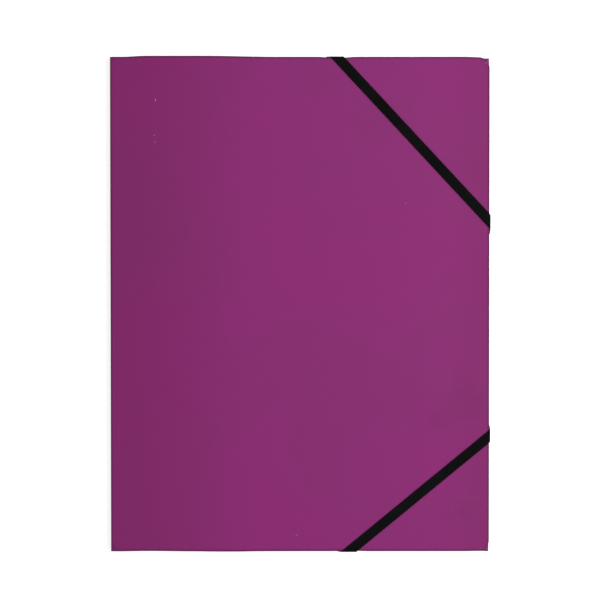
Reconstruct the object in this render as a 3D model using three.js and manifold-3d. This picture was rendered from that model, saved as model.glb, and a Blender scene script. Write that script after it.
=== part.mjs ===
// A three flap folder for A4 sheets, closed and lying on its back: one folded sheet, two corner bands, four rivets.
// Millimetres. +X runs from the spine to the fore-edge, +Y to the head of the cover, +Z out of the cover.
import * as THREE from "three";
import { mergeVertices } from "three/addons/utils/BufferGeometryUtils.js";
import Module from "manifold-3d";

const wasm = await Module();
wasm.setup();

// Sheet
const sheetThickness = 0.5;
const coverWidth = 245;
const coverHeight = 320;
const coverCornerRadius = 7;
const spineCreaseRadius = 1; // outside of the two spine creases
const layerGap = 0.3; // air between two layers of the sheet that lie on each other

// Flaps
const endFlapDepth = 92; // head and foot flaps, from the fold to the free edge
const endFlapInset = 0.6; // their folds, in from the cover's edge
const endFlapMargin = 10; // their roots stop this far from the spine and the fore-edge
const endFlapTaper = 14;
const sideFlapDepth = 118;
const sideFlapInset = 0.2;
const sideFlapTaper = 16;
const flapCornerRadius = 12;

// Bands: flat elastic across the two fore-edge corners. Each leg is measured from its corner.
const bandWidth = 6.5;
const bandThickness = 0.7;
const headBandEndLeg = 98.4;
const headBandForeEdgeLeg = 105.8;
const footBandEndLeg = 90.5;
const footBandForeEdgeLeg = 74.5;
const bandTail = 6; // band past the middle of its rivet
const contactGap = 0.3; // air between two separate pieces that touch

// Rivets: tubular, through the ends of the bands and the back
const rivetInset = 41; // from the folder's edge, along the back
const rivetHeadDiameter = 6;
const rivetHeadThickness = 0.4;
const rivetShankDiameter = 2.4;
const rivetWall = 0.5;
const rivetCurlDiameter = 4.4;
const rivetCurlThickness = 0.4;
const rivetEdgeRound = 0.12;

// How the sheet lies: its back is flat near the spine, then rises over the bands and the rivets
const liftStart = 32; // from the spine
const liftLength = 55;
const bulgeHeight = 0.8; // the cover springs up beside the spine
const bulgeFromSpine = 30;
const bulgeReach = 105;

// Facets
const bendSegments = 6; // in a quarter turn of a fold
const liftSegments = 8;
const bulgeSegments = 12;
const roundSegments = 20; // round a rivet
const cornerSegments = 6; // in a rounded corner of a flap or the cover

// Places that follow from the sizes above
const spineX = -coverWidth / 2;
const foreEdgeX = coverWidth / 2;
const headY = coverHeight / 2;
const liftHeight = rivetHeadThickness + contactGap + bandThickness + contactGap;
const endFlapLevel = sheetThickness + contactGap + rivetCurlThickness + contactGap;
const sideFlapLevel = endFlapLevel + sheetThickness + layerGap;
const coverLevel = sideFlapLevel + sheetThickness + layerGap;
const stackTop = coverLevel + sheetThickness;
const endFoldRadius = (endFlapLevel + sheetThickness) / 2;
const sideFoldRadius = (sideFlapLevel + sheetThickness) / 2;
const backHalfHeight = headY - endFlapInset - endFoldRadius;
const sideFoldX = foreEdgeX - sideFlapInset;
const backEndX = sideFoldX - sideFoldRadius;
const foldLap = endFlapMargin / 2; // a flap's strip starts this far inside the back
const trim = 1; // strips run this far past the outline that cuts them

const sheetMaterial = new THREE.MeshStandardMaterial({ color: 0x87316f, roughness: 0.42, metalness: 0 });
const bandMaterial = new THREE.MeshStandardMaterial({ color: 0x121013, roughness: 0.85, metalness: 0 });
const rivetMaterial = new THREE.MeshStandardMaterial({ color: 0xb9bbbd, roughness: 0.3, metalness: 1 });

const point = (a, b) => new THREE.Vector2(a, b);

function spread(from, to, segments) {
  return Array.from({ length: segments + 1 }, (_, i) => from + ((to - from) * i) / segments);
}

// Height of the back's underside over the table: flat, a smooth rise, flat
function liftAt(x) {
  const share = THREE.MathUtils.clamp((x - spineX - liftStart) / liftLength, 0, 1);
  return liftHeight * share * share * (3 - 2 * share);
}

// Height of the cover's upper face: level, with a low round swell beside the spine
function coverTopAt(x) {
  const share = THREE.MathUtils.clamp((x - spineX - bulgeFromSpine) / bulgeReach, -1, 1);
  return liftHeight + stackTop + bulgeHeight * Math.cos((share * Math.PI) / 2) ** 2;
}

// A line is a list of stops, each with its place and the unit normal to the left of the way the line runs
const stop = (a, b, leftA, leftB) => ({ at: point(a, b), left: point(leftA, leftB) });

function arc(centre, radius, fromAngle, toAngle, segments) {
  const side = Math.sign(fromAngle - toAngle);
  return spread(fromAngle, toAngle, segments).map((angle) => {
    const [outA, outB] = [Math.cos(angle), Math.sin(angle)];
    return stop(centre.x + radius * outA, centre.y + radius * outB, side * outA, side * outB);
  });
}

// Straight runs with rounded corners: corners are [a, b, radius]
function roundedLine(corners, segments, closed) {
  const at = (i) => point(...corners[(i + corners.length) % corners.length].slice(0, 2));
  return corners.flatMap(([a, b, radius], i) => {
    const here = point(a, b);
    const isFirst = !closed && i === 0;
    const isLast = !closed && i === corners.length - 1;
    const back = at(i - 1).sub(here).normalize();
    const on = at(i + 1).sub(here).normalize();
    if (isFirst || isLast || !radius) {
      const along = isLast ? back.negate() : on;
      return [stop(a, b, -along.y, along.x)];
    }
    const halfAngle = Math.acos(THREE.MathUtils.clamp(back.dot(on), -1, 1)) / 2;
    const toCentre = back.clone().add(on).normalize();
    const centre = here.clone().addScaledVector(toCentre, radius / Math.sin(halfAngle));
    const reach = radius / Math.tan(halfAngle);
    const start = here.clone().addScaledVector(back, reach).sub(centre).angle();
    const end = here.clone().addScaledVector(on, reach).sub(centre).angle();
    const turn = THREE.MathUtils.euclideanModulo(end - start + Math.PI, 2 * Math.PI) - Math.PI;
    return arc(centre, radius, start, start + turn, segments);
  });
}

// Outline of the bent sheet, seen along its fold: its middle line with half the thickness on each side
function thicken(middle) {
  const offset = (share) => middle.map(({ at, left }) => at.clone().addScaledVector(left, share * sheetThickness));
  return [...offset(0.5), ...offset(-0.5).reverse()];
}

function volumeOf(points, faces) {
  const cross = new THREE.Vector3();
  const total = faces.map(([a, b, c]) => points[a].dot(cross.crossVectors(points[b], points[c])));
  return total.reduce((sum, v) => sum + v, 0) / 6;
}

// A closed solid through rings of points. Each ring runs along one face of a strip and back along the other, so the
// first and the last are closed by squares from face to face.
function loft(rings) {
  const count = rings[0].length;
  const points = rings.flat();
  const last = points.length - count;
  const faces = [];
  for (let i = 0; i < count / 2 - 1; i++) {
    const [a, b, c, d] = [i, i + 1, count - 2 - i, count - 1 - i];
    faces.push([a, c, b], [a, d, c], [last + a, last + b, last + c], [last + a, last + c, last + d]);
  }
  for (let ring = 0; ring < last; ring += count) {
    for (let i = 0; i < count; i++) {
      const a = ring + i;
      const b = ring + ((i + 1) % count);
      faces.push([a, b, b + count], [a, b + count, a + count]);
    }
  }
  const outward = volumeOf(points, faces) > 0 ? faces : faces.map(([a, b, c]) => [a, c, b]);
  return new THREE.BufferGeometry().setFromPoints(points).setIndex(outward.flat());
}

function solid(geometry) {
  const bare = geometry.clone().deleteAttribute("normal").deleteAttribute("uv");
  const merged = mergeVertices(bare, 1e-4);
  return new wasm.Manifold(
    new wasm.Mesh({
      numProp: 3,
      vertProperties: merged.attributes.position.array,
      triVerts: new Uint32Array(merged.index.array),
    }),
  );
}

function geometryOf(body) {
  const mesh = body.getMesh();
  const geometry = new THREE.BufferGeometry();
  geometry.setAttribute("position", new THREE.BufferAttribute(mesh.vertProperties, 3));
  geometry.setIndex(new THREE.BufferAttribute(mesh.triVerts, 1));
  geometry.computeVertexNormals();
  return geometry;
}

// A strip of the sheet whose folds run along Y, as far as the half height
function stripAlongY(middle, halfHeight) {
  const outline = thicken(middle);
  const rings = [-halfHeight, halfHeight].map((y) => outline.map((p) => new THREE.Vector3(p.x, y, p.y)));
  return solid(loft(rings));
}

// A strip of the sheet whose folds run along X and follow the rise of the back. The end is 1 at the head, -1 at the foot.
function stripAlongX(middle, stations, end) {
  const outline = thicken(middle);
  const rings = stations.map((x) => outline.map((p) => new THREE.Vector3(x, end * p.x, p.y + liftAt(x))));
  return solid(loft(rings));
}

// An upright prism over a plan outline, taller than the folder
function planPrism(corners) {
  const shape = new THREE.Shape(roundedLine(corners, cornerSegments, true).map(({ at }) => at));
  const height = 2 * (coverTopAt(spineX) + trim);
  const prism = new THREE.ExtrudeGeometry(shape, { depth: height, bevelEnabled: false });
  return solid(prism.translate(0, 0, -height / 2));
}

function uprightCylinder(diameter, x, y, fromZ, toZ) {
  const cylinder = new THREE.CylinderGeometry(diameter / 2, diameter / 2, toZ - fromZ, roundSegments);
  return solid(cylinder.rotateX(Math.PI / 2).translate(x, y, (fromZ + toZ) / 2));
}

// Cover and spine, with the first strip of the back
function makeCover() {
  const half = sheetThickness / 2;
  const creaseX = spineX + spineCreaseRadius;
  const topZ = coverTopAt(creaseX);
  const middleRadius = spineCreaseRadius - half;
  const swellEnd = spineX + bulgeFromSpine + bulgeReach;
  const coverLine = [foreEdgeX + trim, ...spread(swellEnd, creaseX, bulgeSegments)];
  const middle = [
    ...coverLine.slice(0, -1).map((x) => stop(x, coverTopAt(x) - half, 0, -1)),
    ...arc(point(creaseX, topZ - spineCreaseRadius), middleRadius, Math.PI / 2, Math.PI, bendSegments),
    ...arc(point(creaseX, spineCreaseRadius), middleRadius, Math.PI, 1.5 * Math.PI, bendSegments),
    stop(spineX + foldLap, half, 0, 1),
  ];
  const outline = planPrism([
    [spineX - trim, -headY, 0],
    [foreEdgeX, -headY, coverCornerRadius],
    [foreEdgeX, headY, coverCornerRadius],
    [spineX - trim, headY, 0],
  ]);
  return stripAlongY(middle, headY + trim).intersect(outline);
}

const liftLine = spread(spineX + liftStart, spineX + liftStart + liftLength, liftSegments);

function makeBack() {
  const stations = [spineX + spineCreaseRadius, ...liftLine, backEndX];
  const middle = stations.map((x) => stop(x, liftAt(x) + sheetThickness / 2, 0, 1));
  return stripAlongY(middle, backHalfHeight);
}

// Side flap: up round the fore-edge and over the head and foot flaps
function makeSideFlap() {
  const half = sheetThickness / 2;
  const freeX = sideFoldX - sideFlapDepth;
  const freeHalfHeight = backHalfHeight - sideFlapTaper;
  const centre = point(backEndX, liftHeight + sideFoldRadius);
  const middle = [
    stop(backEndX - foldLap, liftHeight + half, 0, 1),
    ...arc(centre, sideFoldRadius - half, -Math.PI / 2, Math.PI / 2, 2 * bendSegments),
    stop(freeX - trim, liftHeight + sideFlapLevel + half, 0, -1),
  ];
  const outline = planPrism([
    [freeX, -freeHalfHeight, flapCornerRadius],
    [backEndX, -backHalfHeight, 0],
    [foreEdgeX + trim, -backHalfHeight, 0],
    [foreEdgeX + trim, backHalfHeight, 0],
    [backEndX, backHalfHeight, 0],
    [freeX, freeHalfHeight, flapCornerRadius],
  ]);
  return stripAlongY(middle, backHalfHeight + trim).intersect(outline);
}

// Head flap (end 1) or foot flap (end -1): round the back's end and in over the back
function makeEndFlap(end) {
  const half = sheetThickness / 2;
  const freeY = headY - endFlapInset - endFlapDepth;
  const rootX = [spineX + endFlapMargin, foreEdgeX - endFlapMargin];
  const centre = point(backHalfHeight, endFoldRadius);
  const middle = [
    stop(backHalfHeight - foldLap, half, 0, 1),
    ...arc(centre, endFoldRadius - half, -Math.PI / 2, Math.PI / 2, 2 * bendSegments),
    stop(freeY - trim, endFlapLevel + half, 0, -1),
  ];
  const stations = [rootX[0] - trim, ...liftLine, rootX[1] + trim];
  const outline = planPrism([
    [rootX[0], end * (headY + trim), 0],
    [rootX[0], end * backHalfHeight, 0],
    [rootX[0] + endFlapTaper, end * freeY, flapCornerRadius],
    [rootX[1] - endFlapTaper, end * freeY, flapCornerRadius],
    [rootX[1], end * backHalfHeight, 0],
    [rootX[1], end * (headY + trim), 0],
  ]);
  return stripAlongX(middle, stations, end).intersect(outline);
}

// Middle line of a band round one edge, seen along that edge: over the cover, down past it and in under the back
function wrapLine(edge, foldInset, foldRadius) {
  const offset = contactGap + bandThickness / 2;
  return roundedLine(
    [
      [edge - bandWidth, liftHeight + stackTop + offset, 0],
      [edge + offset, liftHeight + stackTop + offset, offset],
      [edge - foldInset + offset, liftHeight - offset, foldRadius + offset],
      [edge - rivetInset - bandTail, liftHeight - offset, 0],
    ],
    bendSegments,
    false,
  );
}

// One half of a band, from its run over the cover round one edge to its rivet. The band is a straight ribbon that is
// bent round the edge, so its place along the edge changes at an even rate with the length of its middle line.
// `cross` is where it meets the edge, `rate` is that change, `spread` is half its width along the edge on the
// corner's side, and `place` turns (across the edge, along the edge, height) into a point.
function halfBand({ edge, foldInset, foldRadius, cross, rate, halfSpread, place }) {
  const line = wrapLine(edge, foldInset, foldRadius);
  const lengths = [line[0].at.x];
  line.slice(1).forEach(({ at }, i) => lengths.push(lengths[i] + at.distanceTo(line[i].at)));
  const along = (length, side) => cross + rate * (length - edge) + side * halfSpread;
  const corner = (i, side, face, slip) => {
    const p = line[i].at.clone().addScaledVector(line[i].left, (face * bandThickness) / 2);
    return place(p.x - slip, along(lengths[i] + slip, side), p.y);
  };
  const ringAt = (i, skew) => [
    [-1, -1],
    [1, -1],
    [1, 1],
    [-1, 1],
  ].map(([side, face]) => corner(i, side, face, side * skew));
  const last = line.length - 1;
  const squareEnd = (-halfSpread * rate) / (1 + rate * rate);
  const rivetAcross = edge - rivetInset;
  const rivetLength = lengths[last] - (rivetAcross - line[last].at.x);
  return {
    rings: line.map((_, i) => ringAt(i, i === last ? squareEnd : 0)),
    rivet: place(rivetAcross, along(rivetLength, 0), 0),
  };
}

// Both halves of one band. The end is 1 for the head corner, -1 for the foot corner.
function layBand(end, endLeg, foreEdgeLeg) {
  const rate = (-end * foreEdgeLeg) / endLeg;
  const foreEdgeHalf = halfBand({
    edge: foreEdgeX,
    foldInset: sideFlapInset,
    foldRadius: sideFoldRadius,
    cross: end * (headY - foreEdgeLeg),
    rate,
    halfSpread: end * (bandWidth / 2) * Math.hypot(1, rate),
    place: (across, along, z) => new THREE.Vector3(across, along, z),
  });
  const endHalf = halfBand({
    edge: headY,
    foldInset: endFlapInset,
    foldRadius: endFoldRadius,
    cross: foreEdgeX - endLeg,
    rate: end / rate,
    halfSpread: (bandWidth / 2) * Math.hypot(1, 1 / rate),
    place: (across, along, z) => new THREE.Vector3(along, end * across, z),
  });
  return {
    rings: [...endHalf.rings.reverse(), ...foreEdgeHalf.rings],
    rivets: [endHalf.rivet, foreEdgeHalf.rivet],
  };
}

const holeDiameter = rivetShankDiameter + 2 * contactGap;

function makeBand({ rings, rivets }) {
  const ribbon = solid(loft(rings));
  return rivets.reduce(
    (band, { x, y }) => band.subtract(uprightCylinder(holeDiameter, x, y, 0, liftHeight)),
    ribbon,
  );
}

function makeSheet(rivets) {
  const folded = [makeBack(), makeSideFlap(), makeEndFlap(1), makeEndFlap(-1)].reduce(
    (sheet, panel) => sheet.add(panel),
    makeCover(),
  );
  return rivets.reduce((sheet, { x, y }) => {
    const top = liftHeight + sheetThickness + contactGap;
    return sheet.subtract(uprightCylinder(holeDiameter, x, y, 0, top));
  }, folded);
}

// A tubular rivet: wide head under the band, shank through band and back, curled rim inside
function rivetGeometry() {
  const head = rivetHeadDiameter / 2;
  const shank = rivetShankDiameter / 2;
  const bore = shank - rivetWall;
  const curl = rivetCurlDiameter / 2;
  const curlZ = liftHeight + sheetThickness + contactGap;
  const section = roundedLine(
    [
      [bore, 0, 0],
      [head, 0, rivetEdgeRound],
      [head, rivetHeadThickness, rivetEdgeRound],
      [shank, rivetHeadThickness, 0],
      [shank, curlZ, 0],
      [curl, curlZ, rivetEdgeRound],
      [curl, curlZ + rivetCurlThickness, rivetEdgeRound],
      [bore, curlZ + rivetCurlThickness, 0],
    ],
    1,
    true,
  ).map(({ at }) => at);
  const lathe = new THREE.LatheGeometry([...section, section[0]], roundSegments);
  return geometryOf(solid(lathe.rotateX(Math.PI / 2)));
}

const headBand = layBand(1, headBandEndLeg, headBandForeEdgeLeg);
const footBand = layBand(-1, footBandEndLeg, footBandForeEdgeLeg);
const rivetPlaces = [...headBand.rivets, ...footBand.rivets];
const rivetNames = ["rivet_head", "rivet_fore_edge_head", "rivet_foot", "rivet_fore_edge_foot"];

const folder = new THREE.Group();

function addPiece(name, geometry, material) {
  const piece = new THREE.Mesh(geometry, material);
  piece.name = name;
  folder.add(piece);
  return piece;
}

addPiece("folder_sheet", geometryOf(makeSheet(rivetPlaces)), sheetMaterial);
addPiece("elastic_band_head", geometryOf(makeBand(headBand)), bandMaterial);
addPiece("elastic_band_foot", geometryOf(makeBand(footBand)), bandMaterial.clone());
rivetPlaces.forEach(({ x, y }, i) => {
  addPiece(rivetNames[i], rivetGeometry(), rivetMaterial.clone()).position.set(x, y, 0);
});

// The bands stand proud of the fore-edge alone, so the middle of the whole folder is half of that off the sheet's middle
folder.position.x = -(contactGap + bandThickness) / 2;

export default folder;
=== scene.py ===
"""A closed three flap folder for A4 sheets: a folded purple sheet, two black elastic bands and four rivets.

It lies on its back. All sizes are in metres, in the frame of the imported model: +X from spine to fore-edge,
+Y to the head, +Z out of the cover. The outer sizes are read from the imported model, and the rest follow from
them and the named values.
"""
import logging
import math
from dataclasses import dataclass, field
from enum import Enum

import bpy
import numpy as np
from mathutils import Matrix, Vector


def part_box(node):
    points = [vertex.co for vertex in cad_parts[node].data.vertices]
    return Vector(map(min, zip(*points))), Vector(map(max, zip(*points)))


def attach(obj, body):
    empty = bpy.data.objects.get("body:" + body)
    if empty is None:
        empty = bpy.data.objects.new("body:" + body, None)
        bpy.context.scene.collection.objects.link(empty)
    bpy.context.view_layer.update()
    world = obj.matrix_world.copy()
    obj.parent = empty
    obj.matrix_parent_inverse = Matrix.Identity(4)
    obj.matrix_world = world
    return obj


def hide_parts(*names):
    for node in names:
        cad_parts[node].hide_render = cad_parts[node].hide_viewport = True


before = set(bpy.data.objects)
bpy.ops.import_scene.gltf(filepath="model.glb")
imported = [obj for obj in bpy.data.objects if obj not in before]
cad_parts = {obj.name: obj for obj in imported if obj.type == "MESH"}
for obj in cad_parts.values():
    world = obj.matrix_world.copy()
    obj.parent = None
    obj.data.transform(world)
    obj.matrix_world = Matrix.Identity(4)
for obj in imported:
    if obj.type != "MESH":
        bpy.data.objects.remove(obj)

LOG = logging.getLogger("folder")
BODY = "root"
MM = 0.001

Array = np.ndarray
Pair = tuple[float, float]
Colour = tuple[float, float, float, float]
Socket = bpy.types.NodeSocket
Piece = bpy.types.Object
Material = bpy.types.Material
VECTOR = "NodeSocketVector"
VALUE = "NodeSocketFloat"

# the height at which the marks sit and how far they reach up and down, and the studio's floor and world
COVER_LEVEL = 5.6 * MM
MARK_DEPTH = 3.0 * MM
FLOOR_GLOW = 0.62
FLOOR_DROP = 0.05 * MM
WORLD_LIGHT = 0.40


class End(Enum):
    """The two short ends of the folder, with the sign of their Y."""

    HEAD = 1
    FOOT = -1

    @property
    def word(self) -> str:
        """The end's word in the names of pieces and nodes."""
        return self.name.lower()


@dataclass(frozen=True)
class Crossing:
    """Where a band crosses the edges at its corner.

    Attributes:
        end_leg: From the corner along the end edge.
        fore_edge_leg: From the corner along the fore-edge.
        pull: How far the band pulls the end edge in.
    """

    end_leg: float
    fore_edge_leg: float
    pull: float


CROSSINGS = {
    End.HEAD: Crossing(98.4 * MM, 105.8 * MM, 0.55 * MM),
    End.FOOT: Crossing(90.5 * MM, 74.5 * MM, 0.22 * MM),
}


def srgb(red: int, green: int, blue: int) -> Colour:
    """Turns an 8-bit colour into the linear colour that a shader socket takes.

    Args:
        red: Red, 0 to 255.
        green: Green, 0 to 255.
        blue: Blue, 0 to 255.

    Returns:
        Linear red, green, blue and an alpha of 1.
    """
    share = np.array([red, green, blue]) / 255.0
    linear = np.where(share <= 0.04045, share / 12.92, ((share + 0.055) / 1.055) ** 2.4)
    return (*map(float, linear), 1.0)


def ease(value: Array, start: float, end: float) -> Array:
    """Smooth step: 0 before start, 1 after end, and 3 s^2 - 2 s^3 of the share s between them.

    Args:
        value: Where the step is worked out.
        start: Last value at which it is 0.
        end: First value at which it is 1.

    Returns:
        The step at each value.
    """
    share = np.clip((value - start) / (end - start), 0.0, 1.0)
    return share * share * (3.0 - 2.0 * share)


def swell(value: Array, centre: float, reach: float) -> Array:
    """A round hump: the squared cosine of a quarter turn over the reach to each side, and 0 beyond it."""
    share = np.clip((value - centre) / reach, -1.0, 1.0)
    return np.cos(share * math.pi / 2.0) ** 2


def round_off(depth: Array, radius: float) -> Array:
    """Fall of a round corner at a depth past its start: r less the root of r^2 less the depth squared."""
    inside = np.clip(depth, 0.0, radius)
    return radius - np.sqrt(radius**2 - inside**2)


@dataclass
class Line:
    """A bent line in a plane, with its unit normals to the left of the way it runs.

    Attributes:
        at: Points, one row each.
        left: Normals, one row each.
    """

    at: Array
    left: Array

    @staticmethod
    def straight(start: Pair, end: Pair, count: int) -> "Line":
        """A straight run of evenly spaced points from start to end."""
        share = np.linspace(0.0, 1.0, count)[:, None]
        at = np.array(start) * (1.0 - share) + np.array(end) * share
        along = np.array(end) - np.array(start)
        along = along / np.linalg.norm(along)
        return Line(at, np.tile([-along[1], along[0]], (count, 1)))

    @staticmethod
    def arc(centre: Pair, radius: float, start: float, end: float, count: int) -> "Line":
        """Points round a centre: the radius times the cosine and the sine of the angle.

        Args:
            centre: The arc's centre.
            radius: The arc's radius.
            start: Angle of the first point, in radians.
            end: Angle of the last point, in radians.
            count: How many points.

        Returns:
            The line.
        """
        angle = np.linspace(start, end, count)
        out = np.column_stack([np.cos(angle), np.sin(angle)])
        return Line(np.array(centre) + radius * out, math.copysign(1.0, start - end) * out)

    @staticmethod
    def over(across: Array, height: Array, side: float) -> "Line":
        """Points at these heights, each with its normal straight up (side 1) or straight down (side -1)."""
        return Line(np.column_stack([across, height]), np.tile([0.0, side], (len(across), 1)))

    @staticmethod
    def joined(*lines: "Line") -> "Line":
        """One line through all of these, with each point that repeats the last one left out."""
        at = np.vstack([line.at for line in lines])
        left = np.vstack([line.left for line in lines])
        new = np.r_[True, np.linalg.norm(np.diff(at, axis=0), axis=1) > 1e-7]
        return Line(at[new], left[new])

    def lengths(self) -> Array:
        """Length along the line up to each point."""
        steps = np.linalg.norm(np.diff(self.at, axis=0), axis=1)
        return np.r_[0.0, np.cumsum(steps)]

    def offset(self, distance: float) -> Array:
        """The line's points, moved to its left by a distance."""
        return self.at + distance * self.left


def make_piece(name: str, points: Array, faces: list[Array], material: Material) -> Piece:
    """Puts a mesh into the scene as a piece that rides on the folder.

    Args:
        name: The piece's name.
        points: Vertices, one row each.
        faces: Arrays of vertex numbers, one row a face, each array with its own number of corners.
        material: What the piece is dressed in.

    Returns:
        The new object, at the origin.
    """
    mesh = bpy.data.meshes.new(name)
    mesh.from_pydata(points.tolist(), [], [row for array in faces for row in array.tolist()])
    mesh.materials.append(material)
    mesh.polygons.foreach_set("use_smooth", np.ones(len(mesh.polygons), bool))
    mesh.update()
    piece = bpy.data.objects.new(name, mesh)
    bpy.context.scene.collection.objects.link(piece)
    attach(piece, BODY)
    LOG.info("%s: %d vertices, %d faces", name, len(mesh.vertices), len(mesh.polygons))
    return piece


def point_values(piece: Piece, name: str, values: Array) -> None:
    """Stores one number at each vertex of a piece, under a name that its material reads."""
    layer = piece.data.attributes.new(name, "FLOAT", "POINT")
    layer.data.foreach_set("value", values.astype(np.float32))


def grid_faces(rows: int, columns: int, close_rows: bool = False, close_columns: bool = False) -> Array:
    """Four-cornered faces of a grid whose vertices are numbered row by row.

    Args:
        rows: Rows of vertices.
        columns: Vertices in a row.
        close_rows: Whether the last row joins the first.
        close_columns: Whether the last vertex of a row joins the first.

    Returns:
        One row of four vertex numbers for each face.
    """
    row_numbers = np.arange(rows if close_rows else rows - 1)
    column_numbers = np.arange(columns if close_columns else columns - 1)
    row, column = np.meshgrid(row_numbers, column_numbers, indexing="ij")
    here, below = row * columns, (row + 1) % rows * columns
    beside = (column + 1) % columns
    corners = [here + column, here + beside, below + beside, below + column]
    return np.stack(corners, axis=-1).reshape(-1, 4)


def slab(upper: Array, lower: Array) -> tuple[Array, Array]:
    """Closes two grids of the same size, one over the other, into one solid of the sheet.

    Args:
        upper: Points of the first face, rows by columns by 3.
        lower: Points of the other face, in the same order.

    Returns:
        The vertices and the four-cornered faces.
    """
    rows, columns, _ = upper.shape
    count = rows * columns
    top = grid_faces(rows, columns)
    number = np.arange(count).reshape(rows, columns)
    border = np.r_[number[0, :-1], number[:-1, -1], number[-1, :0:-1], number[:0:-1, 0]]
    following = np.roll(border, -1)
    walls = np.column_stack([border, border + count, following + count, following])
    faces = np.vstack([top, top[:, ::-1] + count, walls])
    return np.vstack([upper.reshape(-1, 3), lower.reshape(-1, 3)]), faces


def turned_out(points: Array, faces: Array) -> Array:
    """The faces of a closed solid, turned so that they all point outwards.

    The sum over the faces of the corner times the cross product of the next two is six times the volume, and
    it is negative where the faces point in.

    Args:
        points: Vertices, one row each.
        faces: Four vertex numbers in a row for each face.

    Returns:
        The faces as they were, or all of them reversed.
    """
    a, b, c, d = (points[faces[:, i]] for i in range(4))
    volume = np.einsum("ij,ij->", a, np.cross(b, c)) + np.einsum("ij,ij->", a, np.cross(c, d))
    return faces if volume > 0.0 else faces[:, ::-1]


class NodeTree:
    """Short calls for the node tree of a material, a world or a group."""

    def __init__(self, tree: bpy.types.NodeTree) -> None:
        """Starts on an empty tree."""
        self.tree = tree
        self.tree.nodes.clear()

    def add(self, kind: str, **settings: object) -> bpy.types.Node:
        """Adds a node.

        Args:
            kind: The node's type.
            settings: Its properties, by name.

        Returns:
            The node.
        """
        node = self.tree.nodes.new(kind)
        for name, value in settings.items():
            setattr(node, name, value)
        return node

    def link(self, source: Socket, target: Socket) -> None:
        """Joins two sockets."""
        self.tree.links.new(source, target)

    def feed(self, target: Socket, value: object) -> None:
        """Joins a socket to another, or sets it to a value."""
        if isinstance(value, Socket):
            self.link(value, target)
        else:
            target.default_value = value

    def math(self, operation: str, *values: object) -> Socket:
        """A Math node on these values, which may be sockets or numbers."""
        node = self.add("ShaderNodeMath", operation=operation)
        for target, value in zip(node.inputs, values):
            self.feed(target, value)
        return node.outputs[0]

    def between(self, value: object, low: float, high: float, to_low: float, to_high: float) -> Socket:
        """A smooth Map Range of a value from low..high to to_low..to_high."""
        node = self.add("ShaderNodeMapRange", interpolation_type="SMOOTHSTEP")
        for target, number in zip(node.inputs, (value, low, high, to_low, to_high)):
            self.feed(target, number)
        return node.outputs[0]

    def mix(self, share: object, first: object, second: object) -> Socket:
        """A mix of two colours."""
        node = self.add("ShaderNodeMix", data_type="RGBA")
        self.feed(node.inputs["Factor"], share)
        self.feed(node.inputs[6], first)
        self.feed(node.inputs[7], second)
        return node.outputs[2]

    def noise(self, where: Socket, scale: float, detail: float, roughness: float) -> Socket:
        """The grey output of a Noise Texture."""
        node = self.add("ShaderNodeTexNoise")
        self.link(where, node.inputs["Vector"])
        self.feed(node.inputs["Scale"], scale)
        self.feed(node.inputs["Detail"], detail)
        self.feed(node.inputs["Roughness"], roughness)
        return node.outputs[0]

    def object_place(self) -> Socket:
        """The point's place in the object, in metres."""
        return self.add("ShaderNodeTexCoord").outputs["Object"]

    def group(self, group: bpy.types.NodeTree, **values: object) -> bpy.types.Node:
        """Places a node group with its own values."""
        node = self.add("ShaderNodeGroup", node_tree=group)
        for name, value in values.items():
            self.feed(node.inputs[name.replace("_", " ")], value)
        return node


def new_group(
    name: str, inputs: dict[str, str], outputs: dict[str, str]
) -> tuple[NodeTree, bpy.types.Node, bpy.types.Node]:
    """Starts a shader node group.

    Args:
        name: The group's name.
        inputs: Socket type of each input by its name.
        outputs: Socket type of each output by its name.

    Returns:
        The group's tree, its input node and its output node.
    """
    group = bpy.data.node_groups.new(name, "ShaderNodeTree")
    for sockets, way in ((inputs, "INPUT"), (outputs, "OUTPUT")):
        for socket, kind in sockets.items():
            group.interface.new_socket(socket, in_out=way, socket_type=kind)
    tree = NodeTree(group)
    return tree, tree.add("NodeGroupInput"), tree.add("NodeGroupOutput")


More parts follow.
